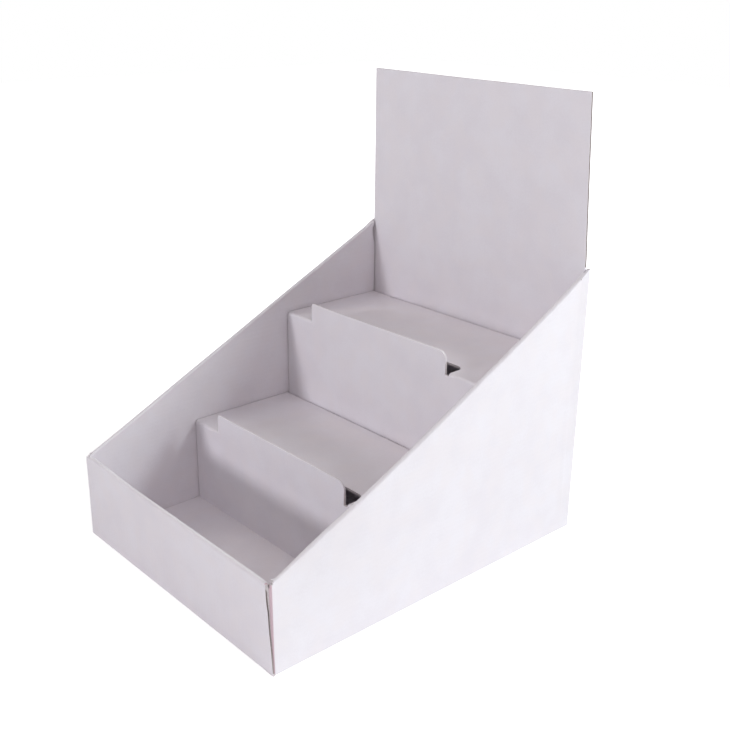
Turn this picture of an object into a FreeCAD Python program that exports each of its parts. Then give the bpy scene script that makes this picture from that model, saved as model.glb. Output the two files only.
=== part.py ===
# Counter display stand of white corrugated board: a sloping tray whose back panel is the header,
# and two stepped shelves that stand loose in it. Each piece is one folded sheet.
# Millimetres. X is to the right of someone facing the stand, Y to the back, Z up.
# The origin is in the middle of the footprint, on the surface that the stand rests on.
import FreeCAD, Part
import math
import os

# Board and folds
board = 1.6                  # thickness of the corrugated board
fold_inside = 0.3            # radius on the inner side of a fold
cut_gap = 0.1                # between plies that are glued or trapped together
ply_gap = 0.4                # between the two plies of a rolled-over side wall
seat_gap = 0.3               # from a rolled-over ply's lower edge to the base

# Tray
tray_width = 200.0
tray_depth = 251.0
front_height = 57.0
side_back_height = 180.0     # top of the side walls at the back
header_height = 289.0
header_width = 195.6
front_roll_gap = 1.5         # from the front wall's roll to the side walls' outer plies
roll_start_gap = 0.3         # from the front wall's inner ply to the rolled part of the side walls
roll_end_gap = 5.2           # from the header to the end of a side wall's rolled top
roll_corner = 1.2            # outer radius along a side wall's rolled top
roll_facets = 3              # flats that make that radius
inner_ply_gap = 0.8          # from the header to the inner ply, below its relief
relief_drop = 13.0           # height of the slanting relief in the inner ply
tuck_length = 55.0           # side walls' flaps inside the front wall
tuck_top_gap = 0.4           # from those flaps to the front wall's top
glue_length = 50.0           # side walls' flaps on the outside of the back panel
glue_slant = 8.0             # how far a glue flap's ends slant over its length
corner_gap = 0.1             # slit where two folds meet at a lower corner

# Shape taken on in use
front_slant = 3.1            # the front panel's right end slants in from bottom to top
right_wall_bow = 4.6         # the right wall's top swells outwards at its middle
bow_sections = 5             # sections that the bowed wall runs through
header_lean = 8.6            # the header's top right corner leans forwards
lean_start = 174.0           # height at which the header starts to bend
lean_blend = 18.0            # height over which it takes up its slant

# Locking tabs of the rolled-over plies, in slots of the base
tab_length = 30.0
tab_lift = 0.2               # from the resting surface to a tab's end
slot_gap = 0.3
side_tab_places = (-62.0, 52.0)
front_tab_places = (-50.0, 50.0)

# Steps
front_step_top = 61.0
rear_step_top = 123.0
front_step_face = -44.2      # front of the lower riser
rear_step_face = 37.4        # front of the upper riser
step_side_gap = 0.6          # from a step's ends to the side walls
step_back_gap = 0.3          # from a step's back leg to what stands behind it
window_left = -68.4
window_right = 65.6
window_depth = 14.0          # from the riser's face to the window's back edge
lip_height = 13.0
lip_left_gap = 0.2           # from a lip's left end to the end of its window
lip_right_gap = 3.3          # from its right end to the end of its window
lip_left_radius = 1.5
lip_right_radius = 6.0

# Worked out from the sizes above
half_width = tray_width / 2
half_depth = tray_depth / 2
fold_outside = fold_inside + board
side_thickness = 2 * board + ply_gap
front_thickness = 3 * board + 2 * cut_gap
front_inner_face = front_thickness - half_depth
header_back = half_depth - board - cut_gap
header_front = header_back - board
front_roll_width = tray_width - 2 * (board + front_roll_gap)
roll_start = front_inner_face + roll_start_gap
roll_end = header_front - roll_end_gap
ply_bottom = board + seat_gap
corner_bottom = fold_outside + corner_gap
tuck_face = board + cut_gap - half_depth
over = 10.0                  # how far a cutting solid runs past what it cuts
shortest_edge = 0.001        # a straight run shorter than this is left out between two folds


def box(x_from, x_to, y_from, y_to, z_from, z_to):
    size = (x_to - x_from, y_to - y_from, z_to - z_from)
    return Part.makeBox(*size, FreeCAD.Vector(x_from, y_from, z_from))


def prism(points, direction):
    return Part.Face(Part.makePolygon(points + points[:1])).extrude(direction)


def in_yz(x):
    return lambda a, b: FreeCAD.Vector(x, a, b)


def in_xz(y):
    return lambda a, b: FreeCAD.Vector(a, y, b)


def in_xy(z):
    return lambda a, b: FreeCAD.Vector(a, b, z)


# A strip of board seen on edge: its centre line runs through the points, with a round fold at each
def folded_strip(points, place, direction):
    bend = fold_inside + board / 2
    runs = []
    for (a1, b1), (a2, b2) in zip(points, points[1:]):
        length = math.hypot(a2 - a1, b2 - b1)
        along = ((a2 - a1) / length, (b2 - b1) / length)
        runs.append({"from": (a1, b1), "to": (a2, b2), "along": along, "left": (-along[1], along[0])})
    turns = []
    for run, after in zip(runs, runs[1:]):
        cross = run["along"][0] * after["along"][1] - run["along"][1] * after["along"][0]
        dot = run["along"][0] * after["along"][0] + run["along"][1] * after["along"][1]
        trim = bend * math.tan(math.atan2(abs(cross), dot) / 2)
        run["to"] = move(run["to"], run["along"], -trim)
        after["from"] = move(after["from"], after["along"], trim)
        turns.append(math.copysign(1, cross))

    def side(offset):
        edges = []
        for index, run in enumerate(runs):
            ends = [place(*move(run[end], run["left"], offset)) for end in ("from", "to")]
            if math.dist(run["from"], run["to"]) > shortest_edge:
                edges.append(Part.LineSegment(*ends).toShape())
            if index < len(turns):
                turn, left, next_left = turns[index], run["left"], runs[index + 1]["left"]
                centre = move(run["to"], left, turn * bend)
                reach = offset - turn * bend
                mean = math.hypot(left[0] + next_left[0], left[1] + next_left[1])
                middle = ((left[0] + next_left[0]) / mean, (left[1] + next_left[1]) / mean)
                through = [place(*move(centre, way, reach)) for way in (left, middle, next_left)]
                edges.append(Part.Arc(*through).toShape())
        return edges

    left_side, right_side = side(board / 2), side(-board / 2)
    caps = []
    for run, end in ((runs[0], "from"), (runs[-1], "to")):
        corners = [place(*move(run[end], run["left"], reach)) for reach in (board / 2, -board / 2)]
        caps.append(Part.LineSegment(*corners).toShape())
    outline = Part.Wire(Part.__sortEdges__(left_side + right_side + caps))
    return Part.Face(outline).extrude(direction)


def move(point, way, distance):
    return (point[0] + way[0] * distance, point[1] + way[1] * distance)


def wall_top(y):
    share = (y + half_depth) / tray_depth
    return front_height + (side_back_height - front_height) * share


# Front wall: outer panel, flat rolled top and inner panel, folded up from the base
def front_wall():
    outer = board / 2 - half_depth
    inner = front_inner_face - board / 2
    top = front_height - board / 2
    path = [(inner, ply_bottom), (inner, top), (outer, top), (outer, board / 2),
            (fold_outside - half_depth, board / 2)]
    wall = folded_strip(path, in_yz(-half_width), FreeCAD.Vector(tray_width, 0, 0))
    behind = board + cut_gap / 2 - half_depth
    for sign in (-1, 1):
        low, high = sorted((sign * front_roll_width / 2, sign * (half_width + over)))
        wall = wall.cut(box(low, high, behind, half_depth, fold_outside, front_height + over))
    slanted, past, above = half_width - front_slant, half_width + over, front_height + over
    slant = [(half_width, 0), (slanted, front_height), (slanted, above), (past, above), (past, 0)]
    corners = [FreeCAD.Vector(x, -half_depth - over, z) for x, z in slant]
    wall = wall.cut(prism(corners, FreeCAD.Vector(0, tray_depth, 0)))
    for place in front_tab_places:
        wall = wall.fuse(box(place - tab_length / 2, place + tab_length / 2, front_inner_face - board,
                             front_inner_face, tab_lift, ply_bottom))
    return wall


def base_panel():
    half = half_width - fold_outside
    return box(-half, half, fold_outside - half_depth, header_back - fold_outside, 0, board)


# Back panel up to where the header starts to bend
def back_panel():
    middle = header_back - board / 2
    path = [(header_back - fold_outside, board / 2), (middle, board / 2), (middle, lean_start)]
    return folded_strip(path, in_yz(-header_width / 2), FreeCAD.Vector(header_width, 0, 0))


# Header: vertical along its left edge, leaning forwards towards its top right corner
def header():
    levels = [lean_start + lean_blend * step / 3 for step in range(4)]
    levels += [levels[-1] + (header_height - levels[-1]) * step / 3 for step in (1, 2, 3)]
    full = header_height - lean_start - lean_blend / 2
    sections = []
    for z in levels:
        risen = z - lean_start
        slant = risen - lean_blend / 2 if risen > lean_blend else risen ** 2 / (2 * lean_blend)
        forward = header_lean * slant / full
        half = header_width / 2
        corners = [FreeCAD.Vector(-half, header_front, z), FreeCAD.Vector(half, header_front - forward, z),
                   FreeCAD.Vector(half, header_back - forward, z), FreeCAD.Vector(-half, header_back, z)]
        sections.append(Part.makePolygon(corners + corners[:1]))
    return Part.makeLoft(sections, True, False)


# Section of a rolled-over side wall: u runs in from the outer face, and the top swells outwards
def wall_section(y, sign, bow):
    top = wall_top(y)
    share = (y - roll_start) / (roll_end - roll_start)
    swell = bow * 4 * share * (1 - share)
    inner_face, slot_top = side_thickness - board, top - board
    turns = [math.pi / 2 * step / roll_facets for step in range(roll_facets + 1)]
    rounding = [(roll_corner * (1 - math.cos(turn)), top - roll_corner * (1 - math.sin(turn)))
                for turn in turns]
    outline = [(0, fold_outside)] + rounding
    outline += [(side_thickness - u, z) for u, z in reversed(rounding)]
    outline += [(side_thickness, ply_bottom), (inner_face, ply_bottom), (inner_face, slot_top),
                (board, slot_top), (board, fold_outside)]
    corners = []
    for u, z in outline:
        outwards = swell * (z - fold_outside) / (top - fold_outside)
        corners.append(FreeCAD.Vector(sign * (half_width - u + outwards), y, z))
    return Part.makePolygon(corners + corners[:1])


# Plain part of a side wall between two places along it, given by its height at each
def side_ply(sign, u_from, u_to, outline):
    start = sign * (half_width - u_from)
    corners = [FreeCAD.Vector(start, y, z) for y, z in outline]
    return prism(corners, FreeCAD.Vector(-sign * (u_to - u_from), 0, 0))


def outer_ply(sign, y_from, y_to):
    outline = [(y_from, fold_outside), (y_to, fold_outside)]
    outline += [(y, wall_top(y)) for y in (y_to, y_from)]
    return side_ply(sign, 0, board, outline)


def inner_ply_end(sign):
    end = header_front - inner_ply_gap
    top = wall_top(roll_end) - board
    outline = [(roll_end, ply_bottom), (end, ply_bottom), (end, top - relief_drop), (roll_end, top)]
    return side_ply(sign, side_thickness - board, side_thickness, outline)


def bottom_fold(sign):
    middle = half_width - board / 2
    path = [(sign * (half_width - fold_outside), board / 2), (sign * middle, board / 2),
            (sign * middle, fold_outside)]
    front = fold_outside + corner_gap - half_depth
    length = half_depth - corner_gap - front
    return folded_strip(path, in_xz(front), FreeCAD.Vector(0, length, 0))


# Flap round a vertical corner: facing is -1 at the front and 1 at the back
def corner_flap(sign, face, facing, length, top):
    middle = half_width - board / 2
    inside = face - facing * board / 2
    path = [(sign * middle, face - facing * fold_outside), (sign * middle, inside),
            (sign * (half_width - length), inside)]
    return folded_strip(path, in_xy(corner_bottom), FreeCAD.Vector(0, 0, top - corner_bottom))


def tuck_flap(sign):
    top = wall_top(tuck_face)
    flap = corner_flap(sign, tuck_face, -1, tuck_length, top)
    low, high = sorted((0, sign * (half_width - fold_outside)))
    under = front_height - board - tuck_top_gap
    return flap.cut(box(low, high, -half_depth, 0, under, top + over))


def glue_flap(sign):
    top = wall_top(half_depth - fold_outside)
    flap = corner_flap(sign, half_depth, 1, glue_length, top)
    root, end = half_width - fold_outside, half_width - glue_length - over
    slope = glue_slant / (glue_length - fold_outside)
    fall = slope * (root - end)
    for edge, way in ((top, 1), (corner_bottom, -1)):
        outline = [(root, edge), (end, edge - way * fall)]
        outline += [(x, edge + way * over) for x in (end, root)]
        corners = [FreeCAD.Vector(sign * x, half_depth - over, z) for x, z in outline]
        flap = flap.cut(prism(corners, FreeCAD.Vector(0, 2 * over, 0)))
    return flap


def side_wall(sign, bow):
    count = bow_sections if bow else 2
    stations = [roll_start + (roll_end - roll_start) * step / (count - 1) for step in range(count)]
    rolled = Part.makeLoft([wall_section(y, sign, bow) for y in stations], True, not bow)
    pieces = [
        outer_ply(sign, tuck_face + fold_outside, roll_start),
        outer_ply(sign, roll_end, half_depth - fold_outside),
        inner_ply_end(sign),
        bottom_fold(sign),
        tuck_flap(sign),
        glue_flap(sign),
    ]
    for place in side_tab_places:
        tab = [(place - tab_length / 2, tab_lift), (place + tab_length / 2, tab_lift),
               (place + tab_length / 2, ply_bottom), (place - tab_length / 2, ply_bottom)]
        pieces.append(side_ply(sign, side_thickness - board, side_thickness, tab))
    return rolled.fuse(pieces)


def tab_slots():
    slots = []
    reach = tab_length / 2 + slot_gap
    for place in front_tab_places:
        slots.append(box(place - reach, place + reach, front_inner_face - board - slot_gap,
                         front_inner_face + slot_gap, -over, board + over))
    near = half_width - side_thickness - slot_gap
    far = near + board + 2 * slot_gap
    for place in side_tab_places:
        for low, high in ((near, far), (-far, -near)):
            slots.append(box(low, high, place - reach, place + reach, -over, board + over))
    return slots


def display_tray():
    floor = base_panel().fuse([bottom_fold(-1), bottom_fold(1)]).cut(tab_slots())
    tray = floor.fuse([front_wall(), back_panel(), header(), side_wall(-1, 0), side_wall(1, right_wall_bow)])
    return tray.removeSplitter()


# Outline of a lip, and of the window that it was cut from, with its free corners rounded
def lip_outline(left, right, reach, place):
    diagonal = 1 - math.sqrt(0.5)
    left_r, right_r = lip_left_radius, lip_right_radius
    edges = [
        Part.LineSegment(place(left, 0), place(left, reach - left_r)),
        Part.Arc(place(left, reach - left_r), place(left + left_r * diagonal, reach - left_r * diagonal),
                 place(left + left_r, reach)),
        Part.LineSegment(place(left + left_r, reach), place(right - right_r, reach)),
        Part.Arc(place(right - right_r, reach), place(right - right_r * diagonal, reach - right_r * diagonal),
                 place(right, reach - right_r)),
        Part.LineSegment(place(right, reach - right_r), place(right, 0)),
        Part.LineSegment(place(right, 0), place(left, 0)),
    ]
    return Part.Face(Part.Wire([edge.toShape() for edge in edges]))


# Riser, shelf and back leg, with the stop lip standing up from the window in the shelf
def step(face, back, top):
    half = half_width - side_thickness - step_side_gap
    front, rear, level = face + board / 2, back - board / 2, top - board / 2
    path = [(front, board), (front, level), (rear, level), (rear, board)]
    sheet = folded_strip(path, in_yz(-half), FreeCAD.Vector(2 * half, 0, 0))
    root = top - fold_outside
    window = lip_outline(window_left, window_right, window_depth,
                         lambda a, b: FreeCAD.Vector(a, face + b, root))
    sheet = sheet.cut(window.extrude(FreeCAD.Vector(0, 0, over)))
    lip = lip_outline(window_left + lip_left_gap, window_right - lip_right_gap, lip_height + fold_outside,
                      lambda a, b: FreeCAD.Vector(a, face, root + b))
    return sheet.fuse(lip.extrude(FreeCAD.Vector(0, board, 0))).removeSplitter()


def front_step():
    return step(front_step_face, rear_step_face - step_back_gap, front_step_top)


def rear_step():
    return step(rear_step_face, header_front - step_back_gap, rear_step_top)


os.makedirs("parts", exist_ok=True)
for make in (display_tray, front_step, rear_step):
    shape = make()
    print(make.__name__, shape.isValid(), len(shape.Solids), round(shape.Volume, 1), shape.BoundBox)
    shape.exportStep("parts/" + make.__name__ + ".step")
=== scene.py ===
import math

import bmesh
import bpy
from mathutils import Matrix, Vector, noise
from mathutils.bvhtree import BVHTree


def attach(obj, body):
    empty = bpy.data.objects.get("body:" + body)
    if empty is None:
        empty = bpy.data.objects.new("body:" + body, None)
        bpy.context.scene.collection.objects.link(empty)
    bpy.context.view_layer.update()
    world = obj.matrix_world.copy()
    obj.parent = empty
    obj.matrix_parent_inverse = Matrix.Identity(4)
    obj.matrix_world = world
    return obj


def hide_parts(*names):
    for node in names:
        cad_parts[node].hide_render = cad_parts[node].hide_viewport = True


mm = 0.001
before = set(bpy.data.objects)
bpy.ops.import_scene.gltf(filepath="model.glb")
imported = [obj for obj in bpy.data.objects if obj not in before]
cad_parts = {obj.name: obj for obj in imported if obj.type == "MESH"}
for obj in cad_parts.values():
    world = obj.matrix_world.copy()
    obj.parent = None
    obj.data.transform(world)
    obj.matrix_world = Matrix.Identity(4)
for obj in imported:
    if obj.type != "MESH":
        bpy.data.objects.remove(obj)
bpy.context.view_layer.update()
print("frame loaded")


def addObject(name, data):
    thing = bpy.data.objects.new(name, data)
    bpy.context.scene.collection.objects.link(thing)
    return thing


# The way from the stand to something that stands at this turn from its front and this height, in degrees
def wayTo(turn, height):
    turn, height = math.radians(turn), math.radians(height)
    return Vector((math.sin(turn) * math.cos(height), -math.cos(turn) * math.cos(height), math.sin(height)))


# Camera: stands to the right of the stand's front and looks down at it
viewpoint = {
    "turn": 48.182,
    "height": 20.632,
    "roll": 0.657,
    "lookAt": (0.0303, 0.0, 0.1275),
    "distance": 0.6324,
    "lens": 50.90,
    "sensor": 36,
    "nearest": 10 * mm,
}


def makeCamera():
    back = wayTo(viewpoint["turn"], viewpoint["height"])
    data = bpy.data.cameras.new("camera")
    data.lens = viewpoint["lens"]
    data.sensor_width = viewpoint["sensor"]
    data.clip_start = viewpoint["nearest"]
    camera = addObject("camera", data)
    camera.location = Vector(viewpoint["lookAt"]) + back * viewpoint["distance"]
    camera.rotation_mode = "QUATERNION"
    facing = (-back).to_track_quat("-Z", "Y").to_matrix().to_4x4()
    roll = facing.Rotation(math.radians(viewpoint["roll"]), 4, "Z")
    camera.rotation_quaternion = (facing @ roll).to_quaternion()
    bpy.context.scene.camera = camera


makeCamera()
print("camera placed")


# Shader maths: a socket that can be written in sums, which add the Math nodes they need
class Signal:
    def __init__(self, socket):
        self.socket = socket

    @staticmethod
    def make(tree, kind, settings=None, inputs=None, output=0):
        node = tree.nodes.new("ShaderNode" + kind)
        for name, value in (settings or {}).items():
            setattr(node, name, value)
        for name, value in (inputs or {}).items():
            if isinstance(value, Signal):
                tree.links.new(value.socket, node.inputs[name])
            else:
                node.inputs[name].default_value = value
        return Signal(node.outputs[output])

    def combine(self, operation, first, second):
        return Signal.make(self.socket.id_data, "Math", {"operation": operation}, {0: first, 1: second})

    def __add__(self, other):
        return self.combine("ADD", self, other)

    def __sub__(self, other):
        return self.combine("SUBTRACT", self, other)

    def __rsub__(self, other):
        return self.combine("SUBTRACT", other, self)

    def __mul__(self, other):
        return self.combine("MULTIPLY", self, other)

    def __lt__(self, other):
        return self.combine("LESS_THAN", self, other)

    def __gt__(self, other):
        return self.combine("GREATER_THAN", self, other)

    __radd__ = __add__
    __rmul__ = __mul__


def newMaterial(name):
    material = bpy.data.materials.new(name)
    material.use_nodes = True
    material.node_tree.nodes.clear()
    return material, material.node_tree


def finishMaterial(tree, shader):
    output = tree.nodes.new("ShaderNodeOutputMaterial")
    tree.links.new(shader.socket, output.inputs["Surface"])


def place(tree):
    return Signal.make(tree, "TexCoord", output="Object")


def axesOf(tree, vector):
    node = Signal.make(tree, "SeparateXYZ", None, {"Vector": vector}).socket.node
    return [Signal(output) for output in node.outputs]


def mathOf(operation, value):
    return Signal.make(value.socket.id_data, "Math", {"operation": operation}, {0: value})


def noiseAt(tree, vector, size, detail, roughness=0.5):
    return Signal.make(tree, "TexNoise", None, {
        "Vector": vector, "Scale": 1 / size, "Detail": detail, "Roughness": roughness})


def ramp(value, low, high):
    return Signal.make(value.socket.id_data, "MapRange", {"interpolation_type": "SMOOTHSTEP"}, {
        "Value": value, "From Min": low, "From Max": high, "To Min": 0.0, "To Max": 1.0})


def blend(mask, first, second):
    return Signal.make(mask.socket.id_data, "Mix", {"data_type": "RGBA"}, {
        "Factor": mask, 6: first, 7: second}, output=2)


# Board: the sheet that every piece is folded from
board = {
    "thickness": 1.6 * mm,
    "linerThickness": 0.24 * mm,
    "flutePitch": 3.39 * mm,
    "mediumThickness": 0.15 * mm,
    "openFrom": -0.5 * mm,             # hollow flutes are modelled from here to openDepth behind a cut edge
    "openDepth": 1.4 * mm,
    "mediumRows": (0.04, 0.35, 0.68, 1.02),    # rows of the fluted strip, as shares of that depth
    "stepsPerFlute": 10,               # along a cut edge that shows its flutes' ends
    "plainStep": 4 * mm,               # along one that the flutes run beside
    "mesh": 5.0 * mm,                  # largest cell of a panel's mesh
    "mergeGap": 0.001 * mm,
    "flatAngle": 0.2,                  # degrees
    "sharpAngle": 38,
    "cutDepth": 4.5 * mm,              # a face with more board than this behind it is a cut edge
    "probeStart": 0.01 * mm,
    "probeSpread": 0.4,
}
# Places of the three papers in a piece's list of materials
linerKind, cutKind, insideKind = range(3)

# White liner: clay-coated paper with faint clouding, fibres, and the flutes' ribs showing through
liner = {
    "colour": (0.80, 0.772, 0.812, 1),
    "cloudColour": (0.772, 0.737, 0.776, 1),
    "warmColour": (0.80, 0.755, 0.778, 1),
    "cloudSize": 22 * mm,
    "cloudDetail": 3.0,
    "cloudRange": (0.3, 0.7),
    "hueSize": 14 * mm,
    "hueDetail": 1.0,
    "hueRange": (0.4, 0.65),
    "hueShare": 0.45,
    "speckSize": 1.1 * mm,
    "speckDetail": 2.0,
    "speckShade": 0.5,
    "speckGloss": 0.15,
    "fibreSize": 0.35 * mm,
    "fibreDetail": 1.0,
    "fibreHeight": 0.006 * mm,
    "ribHeight": 0.012 * mm,
    "sideFacing": 0.7,                 # a panel that faces sideways this much has its ribs level
    "roughness": 0.62,
}
# Darker pink strip: the strip of the right front corner that shows past the end of the front panel is coloured
# darker and pinker than the liner
pinkStrip = {
    "colour": (0.65, 0.49, 0.54, 1),
    "left": 93.8 * mm,
    "front": -125.3 * mm,
    "back": -124.0 * mm,
    "top": 57 * mm,
}


def linerMaterial():
    material, tree = newMaterial("whiteLiner")
    spot = place(tree)
    across, deep, up = axesOf(tree, spot)
    facing = axesOf(tree, Signal.make(tree, "NewGeometry", output="True Normal"))[0]
    onSide = mathOf("ABSOLUTE", facing) > liner["sideFacing"]
    acrossFlutes = onSide * up + (1 - onSide) * across
    ribs = mathOf("SINE", acrossFlutes * (2 * math.pi / board["flutePitch"]))
    clouds = noiseAt(tree, spot, liner["cloudSize"], liner["cloudDetail"])
    specks = noiseAt(tree, spot, liner["speckSize"], liner["speckDetail"]) - 0.5
    fibres = noiseAt(tree, spot, liner["fibreSize"], liner["fibreDetail"])
    hues = noiseAt(tree, spot, liner["hueSize"], liner["hueDetail"])
    shade = ramp(clouds + specks * liner["speckShade"], *liner["cloudRange"])
    warmth = ramp(hues, *liner["hueRange"]) * liner["hueShare"]
    colour = blend(warmth, blend(shade, liner["cloudColour"], liner["colour"]), liner["warmColour"])
    # the strip at the right front corner is coloured darker and pinker than the rest of the liner
    fold = (across > pinkStrip["left"]) * (deep > pinkStrip["front"]) * (deep < pinkStrip["back"]) * (up < pinkStrip["top"])
    colour = blend(fold, colour, pinkStrip["colour"])
    height = ribs * liner["ribHeight"] + fibres * liner["fibreHeight"]
    bump = Signal.make(tree, "Bump", None, {"Strength": 1.0, "Distance": 1.0, "Height": height})
    finishMaterial(tree, Signal.make(tree, "BsdfPrincipled", None, {
        "Base Color": colour, "Roughness": liner["roughness"] + specks * liner["speckGloss"], "Normal": bump}))
    return material


# Cut edge of the board: the white liners' torn fibres, greyer than their faces
cutPaper = {
    "colour": (0.58, 0.53, 0.53, 1),
    "paleColour": (0.70, 0.66, 0.67, 1),
    "fibreSize": 0.5 * mm,
    "fibreDetail": 3.0,
    "fibreRoughness": 0.65,
    "fibreRange": (0.35, 0.65),
    "fibreHeight": 0.03 * mm,
    "roughness": 0.85,
}


def cutPaperMaterial():
    material, tree = newMaterial("cutPaper")
    fibres = noiseAt(tree, place(tree), cutPaper["fibreSize"], cutPaper["fibreDetail"],
                     cutPaper["fibreRoughness"])
    colour = blend(ramp(fibres, *cutPaper["fibreRange"]), cutPaper["colour"], cutPaper["paleColour"])
    bump = Signal.make(tree, "Bump", None, {
        "Strength": 1.0, "Distance": 1.0, "Height": fibres * cutPaper["fibreHeight"]})
    finishMaterial(tree, Signal.make(tree, "BsdfPrincipled", None, {
        "Base Color": colour, "Roughness": cutPaper["roughness"], "Normal": bump}))
    return material


# Inside of the board: the fluting and the backs of the liners, a pale grey-brown
fluting = {
    "colour": (0.56, 0.50, 0.48, 1),
    "darkColour": (0.46, 0.40, 0.38, 1),
    "fibreSize": 0.9 * mm,
    "fibreDetail": 3.0,
    "fibreRoughness": 0.6,
    "fibreRange": (0.35, 0.65),
    "roughness": 0.9,
}


def flutingMaterial():
    material, tree = newMaterial("fluting")
    fibres = noiseAt(tree, place(tree), fluting["fibreSize"], fluting["fibreDetail"], fluting["fibreRoughness"])
    colour = blend(ramp(fibres, *fluting["fibreRange"]), fluting["darkColour"], fluting["colour"])
    finishMaterial(tree, Signal.make(tree, "BsdfPrincipled", None, {
        "Base Color": colour, "Roughness": fluting["roughness"]}))
    return material


paperKinds = [linerMaterial(), cutPaperMaterial(), flutingMaterial()]
print("materials made")


# Waviness: the board strays a little from flat
waviness = {
    "sway": 0.30 * mm,
    "length": 75 * mm,
    "settle": 25 * mm,                 # height over which the flat base gives way to it
    "least": 0.3,                      # share of it that is left at the base
    "seed": 7,                         # keeps it the same in each run
}
noise.seed_set(waviness["seed"])


def boardCopy(node, name):
    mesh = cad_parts[node].data.copy()
    mesh.attributes.remove(mesh.attributes["custom_normal"])
    mesh.materials.clear()
    for kind in paperKinds:
        mesh.materials.append(kind)
    piece = addObject(name, mesh)
    sheet = bmesh.new()
    sheet.from_mesh(mesh)
    bmesh.ops.remove_doubles(sheet, verts=sheet.verts, dist=board["mergeGap"])
    bmesh.ops.dissolve_limit(sheet, angle_limit=math.radians(board["flatAngle"]),
                             verts=sheet.verts, edges=sheet.edges)
    markCutFaces(sheet)
    sheet.to_mesh(mesh)
    sheet.free()
    return piece


# A cut edge is a face with more board behind it than the board is thick, wherever on it that is measured
def markCutFaces(sheet):
    tree = BVHTree.FromBMesh(sheet)
    for face in sheet.faces:
        middle = face.calc_center_median()
        spots = [middle] + [middle.lerp(vert.co, board["probeSpread"]) for vert in face.verts]
        depths = [tree.ray_cast(spot - face.normal * board["probeStart"], -face.normal)[3] for spot in spots]
        cut = all(depth is None or depth > board["cutDepth"] for depth in depths)
        face.material_index = cutKind if cut else linerKind


# A cut edge: points along it, the way into the board, the way through it and the way across the flutes
def cutEdge(points, inward, through, across, bend=None):
    return {"points": points, "inward": Vector(inward), "through": Vector(through),
            "across": Vector(across), "bend": bend or (lambda point: point)}


def straight(start, end, step):
    start, end = Vector(start), Vector(end)
    count = max(1, round((end - start).length / step))
    return [start.lerp(end, index / count) for index in range(count + 1)]


# A box swept along a cut edge, which lift can raise and lower along it as the flutes go
def sweptBox(name, edge, depths, half, lift=None):
    mesh = bpy.data.meshes.new(name)
    sheet = bmesh.new()
    rings = []
    for point in edge["points"]:
        ring = []
        for side in (1, -1):
            for depth in depths if side == 1 else reversed(depths):
                spot = point + edge["inward"] * depth
                raised = lift(spot.dot(edge["across"])) if lift else 0
                ring.append(sheet.verts.new(edge["bend"](spot + edge["through"] * (raised + side * half))))
        rings.append(ring)
    for ring, after in zip(rings, rings[1:]):
        for index in range(len(ring)):
            follow = (index + 1) % len(ring)
            sheet.faces.new((ring[index], ring[follow], after[follow], after[index]))
    sheet.faces.new(list(reversed(rings[0])))
    sheet.faces.new(rings[-1])
    bmesh.ops.recalc_face_normals(sheet, faces=sheet.faces)
    sheet.to_mesh(mesh)
    sheet.free()
    return mesh


def carve(piece, edge):
    half = board["thickness"] / 2 - board["linerThickness"]
    mesh = sweptBox("groove", edge, [board["openFrom"], board["openDepth"]], half)
    mesh.materials.append(paperKinds[insideKind])
    cutter = addObject("groove", mesh)
    cut = piece.modifiers.new("open flutes", "BOOLEAN")
    cut.object = cutter
    cut.operation = "DIFFERENCE"
    cut.solver = "EXACT"
    cut.material_mode = "TRANSFER"
    applyModifiers(piece)
    bpy.data.objects.remove(cutter)


def applyModifiers(piece):
    shown = piece.evaluated_get(bpy.context.evaluated_depsgraph_get())
    mesh = bpy.data.meshes.new_from_object(shown)
    piece.modifiers.clear()
    piece.data = mesh


def medium(edge):
    half = board["thickness"] / 2 - board["linerThickness"] - board["mediumThickness"] / 2
    rate = 2 * math.pi / board["flutePitch"]
    depths = [board["openDepth"] * row for row in board["mediumRows"]]
    return sweptBox("medium", edge, depths, board["mediumThickness"] / 2,
                    lambda reach: half * math.sin(rate * reach))


def panelMesh(piece, edges, form):
    sheet = bmesh.new()
    sheet.from_mesh(piece.data)
    for axis in range(3):
        way = Vector((0, 0, 0))
        way[axis] = 1
        spots = [vert.co[axis] for vert in sheet.verts]
        first, last = min(spots), max(spots)
        count = math.ceil((last - first) / board["mesh"])
        for index in range(1, count):
            spot = way * (first + (last - first) * index / count)
            bmesh.ops.bisect_plane(sheet, geom=sheet.verts[:] + sheet.edges[:] + sheet.faces[:],
                                   dist=board["mergeGap"], plane_co=spot, plane_no=way)
    for edge in edges:
        start = len(sheet.faces)
        sheet.from_mesh(medium(edge))
        sheet.faces.ensure_lookup_table()
        for index in range(start, len(sheet.faces)):
            sheet.faces[index].material_index = insideKind
    for vert in sheet.verts:
        if form:
            form(vert.co)
        drift = noise.noise_vector(vert.co / waviness["length"]) * waviness["sway"]
        settled = min(1, max(0, vert.co.z / waviness["settle"]))
        drift.z *= settled
        vert.co += drift * (waviness["least"] + (1 - waviness["least"]) * settled)
    for face in sheet.faces:
        face.smooth = True
    sheet.to_mesh(piece.data)
    sheet.free()
    piece.data.set_sharp_from_angle(angle=math.radians(board["sharpAngle"]))
    weighted = piece.modifiers.new("flat panels stay flat", "WEIGHTED_NORMAL")
    weighted.keep_sharp = True
    applyModifiers(piece)


def boardPiece(node, name, edges, shape=None, form=None):
    piece = boardCopy(node, name)
    if shape:
        shape(piece, node)
    for edge in edges:
        carve(piece, edge)
    panelMesh(piece, edges, form)
    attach(piece, "root")
    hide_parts(node)
    print(name, "made:", len(piece.data.polygons), "faces")


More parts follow.
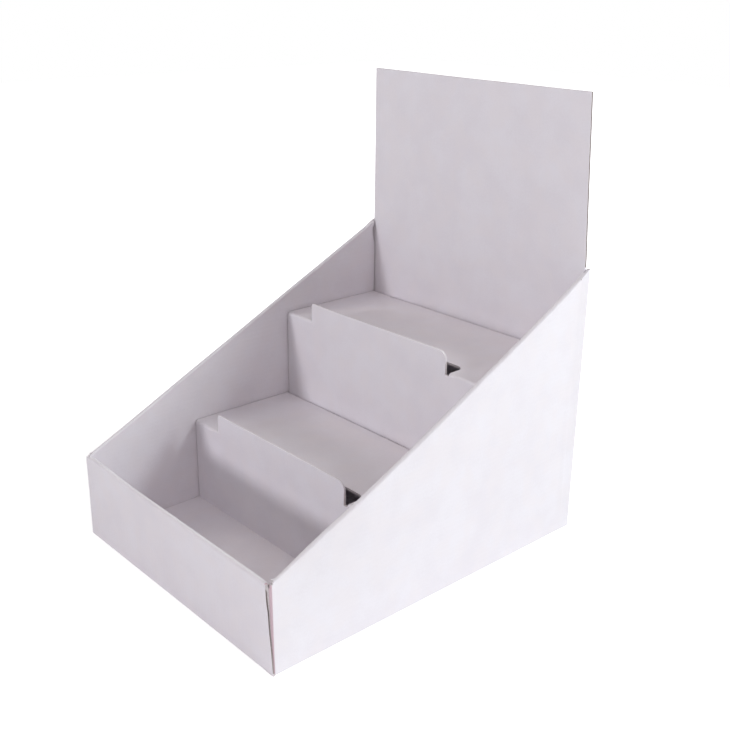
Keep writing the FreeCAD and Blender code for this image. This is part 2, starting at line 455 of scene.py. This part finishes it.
# Tray: places of the cut edges that show, from the sizes that its panels have
tray = {
    "headerHalfWidth": 97.8 * mm,
    "headerMiddle": 123.0 * mm,        # middle of the back panel's thickness
    "headerTop": 289.0 * mm,
    "wallTop": 180.5 * mm,             # the header's side edges show from here up
    "lean": 8.6 * mm,                  # the header's top right corner leans forwards
    "leanStart": 174.0 * mm,
    "leanBlend": 18.0 * mm,
    "flapMiddle": 124.7 * mm,          # middle of the glue flaps' thickness
    "flapEnd": 50.0 * mm,
    "flapTop": 179.07 * mm,
    "flapBottom": 2.0 * mm,
    "flapFall": 8.0 * mm,
    "frontHalfWidth": 100.0 * mm,
    "frontMiddle": -124.7 * mm,        # middle of the front panel's thickness
    "frontTop": 54.0 * mm,             # the front panel's ends show from here down to the lower fold
    "frontBottom": 2.0 * mm,
    "frontSlant": 3.1 / 57.0,          # how far its right end slants in for each unit of height
}


def headerLean(point):
    risen = point.z - tray["leanStart"]
    if risen <= 0:
        return point
    blend = tray["leanBlend"]
    slant = risen - blend / 2 if risen > blend else risen ** 2 / (2 * blend)
    full = tray["headerTop"] - tray["leanStart"] - blend / 2
    along = (point.x + tray["headerHalfWidth"]) / (2 * tray["headerHalfWidth"])
    return Vector((point.x, point.y - tray["lean"] * slant / full * along, point.z))


def trayEdges():
    half, middle, top = tray["headerHalfWidth"], tray["headerMiddle"], tray["headerTop"]
    fine, coarse = board["flutePitch"] / board["stepsPerFlute"], board["plainStep"]
    edges = [cutEdge(straight((-half, middle, top), (half, middle, top), fine),
                     (0, 0, -1), (0, 1, 0), (1, 0, 0), headerLean)]
    for side in (-1, 1):
        low = tray["wallTop"]
        edges.append(cutEdge(straight((side * half, middle, low), (side * half, middle, top), coarse),
                             (-side, 0, 0), (0, 1, 0), (1, 0, 0), headerLean))
        end, y = side * tray["flapEnd"], tray["flapMiddle"]
        high, low = tray["flapTop"] - tray["flapFall"], tray["flapBottom"] + tray["flapFall"]
        edges.append(cutEdge(straight((end, y, low), (end, y, high), fine),
                             (side, 0, 0), (0, 1, 0), (0, 0, 1)))
        slant = tray["frontSlant"] if side > 0 else 0
        low, high = [(side * (tray["frontHalfWidth"] - slant * z), tray["frontMiddle"], z)
                     for z in (tray["frontBottom"], tray["frontTop"])]
        edges.append(cutEdge(straight(low, high, coarse), (-side, 0, 0), (0, 1, 0), (1, 0, 0)))
    return edges


# Outer creases: the scored board folds to a sharper corner than a round bend
crease = {
    "outer": 1.95 * mm,                # reach of a bend from its centre
    "power": 5,                        # 2 is round, and more is sharper
    "bends": [
        # the two axes that the bend lies in, its centre, and the way out along each axis
        {"axes": (0, 1), "centre": (98.1 * mm, -121.9 * mm), "way": (1, -1)},
        {"axes": (0, 1), "centre": (-98.1 * mm, -121.9 * mm), "way": (-1, -1)},
        {"axes": (0, 1), "centre": (98.1 * mm, 123.6 * mm), "way": (1, 1)},
        {"axes": (0, 1), "centre": (-98.1 * mm, 123.6 * mm), "way": (-1, 1)},
        {"axes": (0, 2), "centre": (98.1 * mm, 1.9 * mm), "way": (1, -1)},
        {"axes": (0, 2), "centre": (-98.1 * mm, 1.9 * mm), "way": (-1, -1)},
        {"axes": (1, 2), "centre": (-123.6 * mm, 1.9 * mm), "way": (-1, -1)},
    ],
}
# Front wall: its roll is pressed thinner than the layers below it, and has sunk along most of its length
frontRoll = {
    "outer": -125.5 * mm,
    "inner": -120.25 * mm,
    "halfWidth": 96.95 * mm,
    "pressed": 0.3,                    # share of the thickness that is lost at the top
    "pressHeights": (25 * mm, 50 * mm),
    "sunk": 1.9 * mm,
    "sinkHeights": (30 * mm, 57 * mm),
    "sinkAcross": (-95 * mm, -40 * mm),
    "followDepths": (-105 * mm, -120.25 * mm),  # the side walls' front ends come forwards after it
    "leftLayer": (-98.45 * mm, -95 * mm),
    "leftForwards": 2.5 * mm,          # and the left one's inner layer comes further
}
# Right front corner: it leans in towards its top, and the front panel's end is crushed against the fold
corner = {
    "shift": 1.3 * mm,
    "height": 57 * mm,
    "most": 1.3,                       # of that shift, higher up the side wall
    "leanAcross": (72 * mm, 97 * mm),
    "leanDepths": (-55 * mm, -115 * mm),
    "crushed": 0.5,                    # share of the thickness that is lost at the bottom
    "crushedTop": 0.15,
    "crushAcross": (88 * mm, 96 * mm),
    "crushDepths": (-110 * mm, -123.9 * mm),
    "panelBack": -123.9 * mm,
    "drawnBack": 0.9 * mm,             # how far the panel's end has moved off the corner at its top
    "drawnHeights": (5 * mm, 50 * mm),
}
# Side walls: their top line, what has moved off it, and the ends of their rolled tops
wallLine = {
    "front": -125.5 * mm,
    "height": 57 * mm,
    "slope": 123 / 251,
    "from": 95 * mm,
    "below": 35 * mm,                  # what moves with the line fades out this far below it and above it
    "above": (1 * mm, 35 * mm),
    "innerLayer": (95 * mm, 98.45 * mm),
    "rollDepths": (105 * mm, 117 * mm),
    "rollReach": 4.2 * mm,             # how much nearer to the header the rolled tops come
    "rollFades": (16 * mm, 6 * mm),    # how far below the top line that begins and is full
    "slack": 0.05 * mm,
    "clear": 3 * mm,
    "narrowDepths": (-95 * mm, -120 * mm),
    "narrowedRight": 0.3,              # share of the roll's width that is lost at the front end
    "narrowedLeft": 0.1,
    # depth, and how far the right wall's line has risen there, both in millimetres
    "risen": [(-125.5, -1.5), (-115, -1.8), (-105, -1.5), (-85, -0.5), (-60, 0.1), (0, 1.5), (30, 1.7),
              (45, 1.0), (80, 0.4), (105, 0.0), (117, 0.2), (121, 1.2), (125.5, 2.2)],
}


# How much of a change there is at a value, from none at the start to all of it at the end
def share(value, start, end):
    part = min(1, max(0, (value - start) / (end - start)))
    return part * part * (3 - 2 * part)


def sharpenBend(spot):
    for bend in crease["bends"]:
        (first, second), centre, way = bend["axes"], bend["centre"], bend["way"]
        a, b = (spot[first] - centre[0]) * way[0], (spot[second] - centre[1]) * way[1]
        reach = math.hypot(a, b)
        if a > 0 and b > 0 and reach < crease["outer"]:
            power = crease["power"]
            sharper = ((a / reach) ** power + (b / reach) ** power) ** (-1 / power)
            spot[first] += a * (sharper - 1) * way[0]
            spot[second] += b * (sharper - 1) * way[1]
            return


def crushCorner(spot):
    pressed = share(spot.z, *frontRoll["pressHeights"])
    amount = corner["crushed"] + (corner["crushedTop"] - corner["crushed"]) * pressed
    nearEnd = share(spot.x, *corner["crushAcross"])
    if spot.y < corner["panelBack"]:
        spot.x -= corner["drawnBack"] * share(spot.z, *corner["drawnHeights"]) * nearEnd
    deep = min(spot.y, corner["panelBack"]) - frontRoll["outer"]
    spot.y -= amount * nearEnd * deep * share(spot.y, *corner["crushDepths"])


def wallTop(y):
    return wallLine["height"] + wallLine["slope"] * (y - wallLine["front"])


def stretchRollEnd(spot):
    inner, outer = wallLine["innerLayer"]
    beforeEnd = spot.y < wallLine["rollDepths"][1] + wallLine["slack"]
    if inner < abs(spot.x) < outer and beforeEnd and spot.z < wallTop(spot.y) + wallLine["clear"]:
        low, high = [wallTop(spot.y) - fade for fade in wallLine["rollFades"]]
        reach = wallLine["rollReach"] * share(spot.y, *wallLine["rollDepths"]) * share(spot.z, low, high)
        spot.y += reach
        spot.z += wallLine["slope"] * reach


def pressFrontRoll(spot):
    pressed = share(spot.z, *frontRoll["pressHeights"])
    follows = share(spot.y, *frontRoll["followDepths"])
    inFront = spot.y < frontRoll["inner"]
    forwards = frontRoll["pressed"] * pressed * (min(spot.y, frontRoll["inner"]) - frontRoll["outer"]) * follows
    if frontRoll["leftLayer"][0] < spot.x < frontRoll["leftLayer"][1] and not inFront:
        forwards += frontRoll["leftForwards"] * pressed * follows
    spot.y -= forwards
    if inFront and abs(spot.x) < frontRoll["halfWidth"]:
        sunk = share(spot.z, *frontRoll["sinkHeights"]) * share(spot.x, *frontRoll["sinkAcross"])
        spot.z -= frontRoll["sunk"] * sunk
    elif abs(spot.x) > wallLine["from"]:
        bendWallLine(spot, forwards)


def bendWallLine(spot, forwards):
    top = wallTop(spot.y + forwards)
    near = share(spot.z, top - wallLine["below"], top)
    near *= 1 - share(spot.z, *[top + fade for fade in wallLine["above"]])
    narrowed = wallLine["narrowedRight"] if spot.x > 0 else wallLine["narrowedLeft"]
    narrowed *= share(spot.y, *wallLine["narrowDepths"]) * near
    half = math.copysign(tray["frontHalfWidth"], spot.x)
    spot.x = half - (half - spot.x) * (1 - narrowed)
    spot.z -= wallLine["slope"] * forwards * near
    if spot.x > 0:
        for (y, risen), (nextY, nextRisen) in zip(wallLine["risen"], wallLine["risen"][1:]):
            if y * mm <= spot.y <= nextY * mm:
                spot.z += (risen + (nextRisen - risen) * (spot.y / mm - y) / (nextY - y)) * mm * near


def trayForm(spot):
    sharpenBend(spot)
    crushCorner(spot)
    stretchRollEnd(spot)
    pressFrontRoll(spot)
    lean = share(spot.x, *corner["leanAcross"]) * share(spot.y, *corner["leanDepths"])
    spot.x -= corner["shift"] * lean * min(corner["most"], max(0, spot.z / corner["height"]))


boardPiece("display_tray", "trayBoard", trayEdges(), form=trayForm)


# Steps: the window in each shelf and the lip that was pushed up from it
step = {
    "tops": {"front_step": 61.0 * mm, "rear_step": 123.0 * mm},
    "rimFrom": 1.0 * mm,               # the lips' rims are higher than this above the shelves
    "pinch": 0.7 * mm,
    "pinchRows": 2,
    "pinchRoundness": 0.6,
}


# The rim of a lip is pressed nearly shut where the die cut it, and the liner rolls over it
def pinchLip(piece, node):
    low = step["tops"][node] + step["rimFrom"]
    sheet = bmesh.new()
    sheet.from_mesh(piece.data)
    rims = [edge for edge in sheet.edges
            if min(vert.co.z for vert in edge.verts) > low
            and sorted(face.material_index for face in edge.link_faces) == [linerKind, cutKind]]
    bmesh.ops.bevel(sheet, geom=rims, offset=step["pinch"], segments=step["pinchRows"],
                    profile=step["pinchRoundness"], affect="EDGES", clamp_overlap=True, material=linerKind)
    sheet.to_mesh(piece.data)
    sheet.free()


for node, name in (("front_step", "frontStepBoard"), ("rear_step", "rearStepBoard")):
    boardPiece(node, name, [], shape=pinchLip)


# Floor and background: white to the camera, and the floor keeps the stand's shadow
stage = {
    "size": 6.0,
    "floorColour": (0.90, 0.89, 0.90, 1),
    "floorRoughness": 0.9,
    "glowNear": 0.55,                  # what the camera sees of it, near the stand and far off
    "glowFar": 1.0,
    "near": 0.22,
    "far": 0.75,
}


def makeFloor():
    mesh = bpy.data.meshes.new("floor")
    half = stage["size"] / 2
    corners = [(-half, -half, 0), (half, -half, 0), (half, half, 0), (-half, half, 0)]
    mesh.from_pydata(corners, [], [(0, 1, 2, 3)])
    floor = addObject("floor", mesh)
    material, tree = newMaterial("studioFloor")
    seen = Signal.make(tree, "LightPath", output="Is Camera Ray")
    away = Signal.make(tree, "VectorMath", {"operation": "LENGTH"}, {0: place(tree)}, output="Value")
    brighter = (stage["glowFar"] - stage["glowNear"]) * ramp(away, stage["near"], stage["far"])
    glow = seen * (stage["glowNear"] + brighter)
    white = Signal.make(tree, "CombineColor", None, {"Red": glow, "Green": glow, "Blue": glow})
    finishMaterial(tree, Signal.make(tree, "BsdfPrincipled", None, {
        "Base Color": stage["floorColour"], "Roughness": stage["floorRoughness"],
        "Emission Color": white, "Emission Strength": 1.0}))
    mesh.materials.append(material)


# Lights: a broad lamp behind the right side, a small low one in front, two weak ones above, and an even sky
lamps = {
    "key": {"turn": 133, "height": 27, "away": 5.0, "size": 2.7, "power": 224.0, "colour": (0.935, 0.99, 1.0)},
    "front": {"turn": -12, "height": 10, "away": 2.8, "size": 0.5, "power": 25.0, "colour": (0.96, 0.95, 1.0)},
    "right": {"turn": 60, "height": 55, "away": 1.6, "size": 0.6, "power": 3.5, "colour": (1.0, 0.88, 0.90)},
    "left": {"turn": -90, "height": 55, "away": 2.8, "size": 1.0, "power": 11.0, "colour": (1.0, 0.95, 0.90)},
}
lampsAimAt = (0, 0, 0.12)
sky = 0.25


def makeLights():
    for name, lamp in lamps.items():
        data = bpy.data.lights.new(name, "AREA")
        data.shape = "DISK"
        data.size = lamp["size"]
        data.energy = lamp["power"]
        data.color = lamp["colour"]
        light = addObject(name, data)
        back = wayTo(lamp["turn"], lamp["height"])
        light.location = Vector(lampsAimAt) + back * lamp["away"]
        light.rotation_mode = "QUATERNION"
        light.rotation_quaternion = (-back).to_track_quat("-Z", "Y")
    world = bpy.data.worlds.new("studio")
    bpy.context.scene.world = world
    world.use_nodes = True
    tree = world.node_tree
    tree.nodes.clear()
    seen = Signal.make(tree, "LightPath", output="Is Camera Ray")
    level = seen + (1 - seen) * sky
    light = Signal.make(tree, "Background", None, {"Color": (1, 1, 1, 1), "Strength": level})
    output = tree.nodes.new("ShaderNodeOutputWorld")
    tree.links.new(light.socket, output.inputs["Surface"])


makeFloor()
makeLights()
bpy.context.scene.view_settings.view_transform = "Standard"
print("stage lit")

bpy.context.view_layer.update()
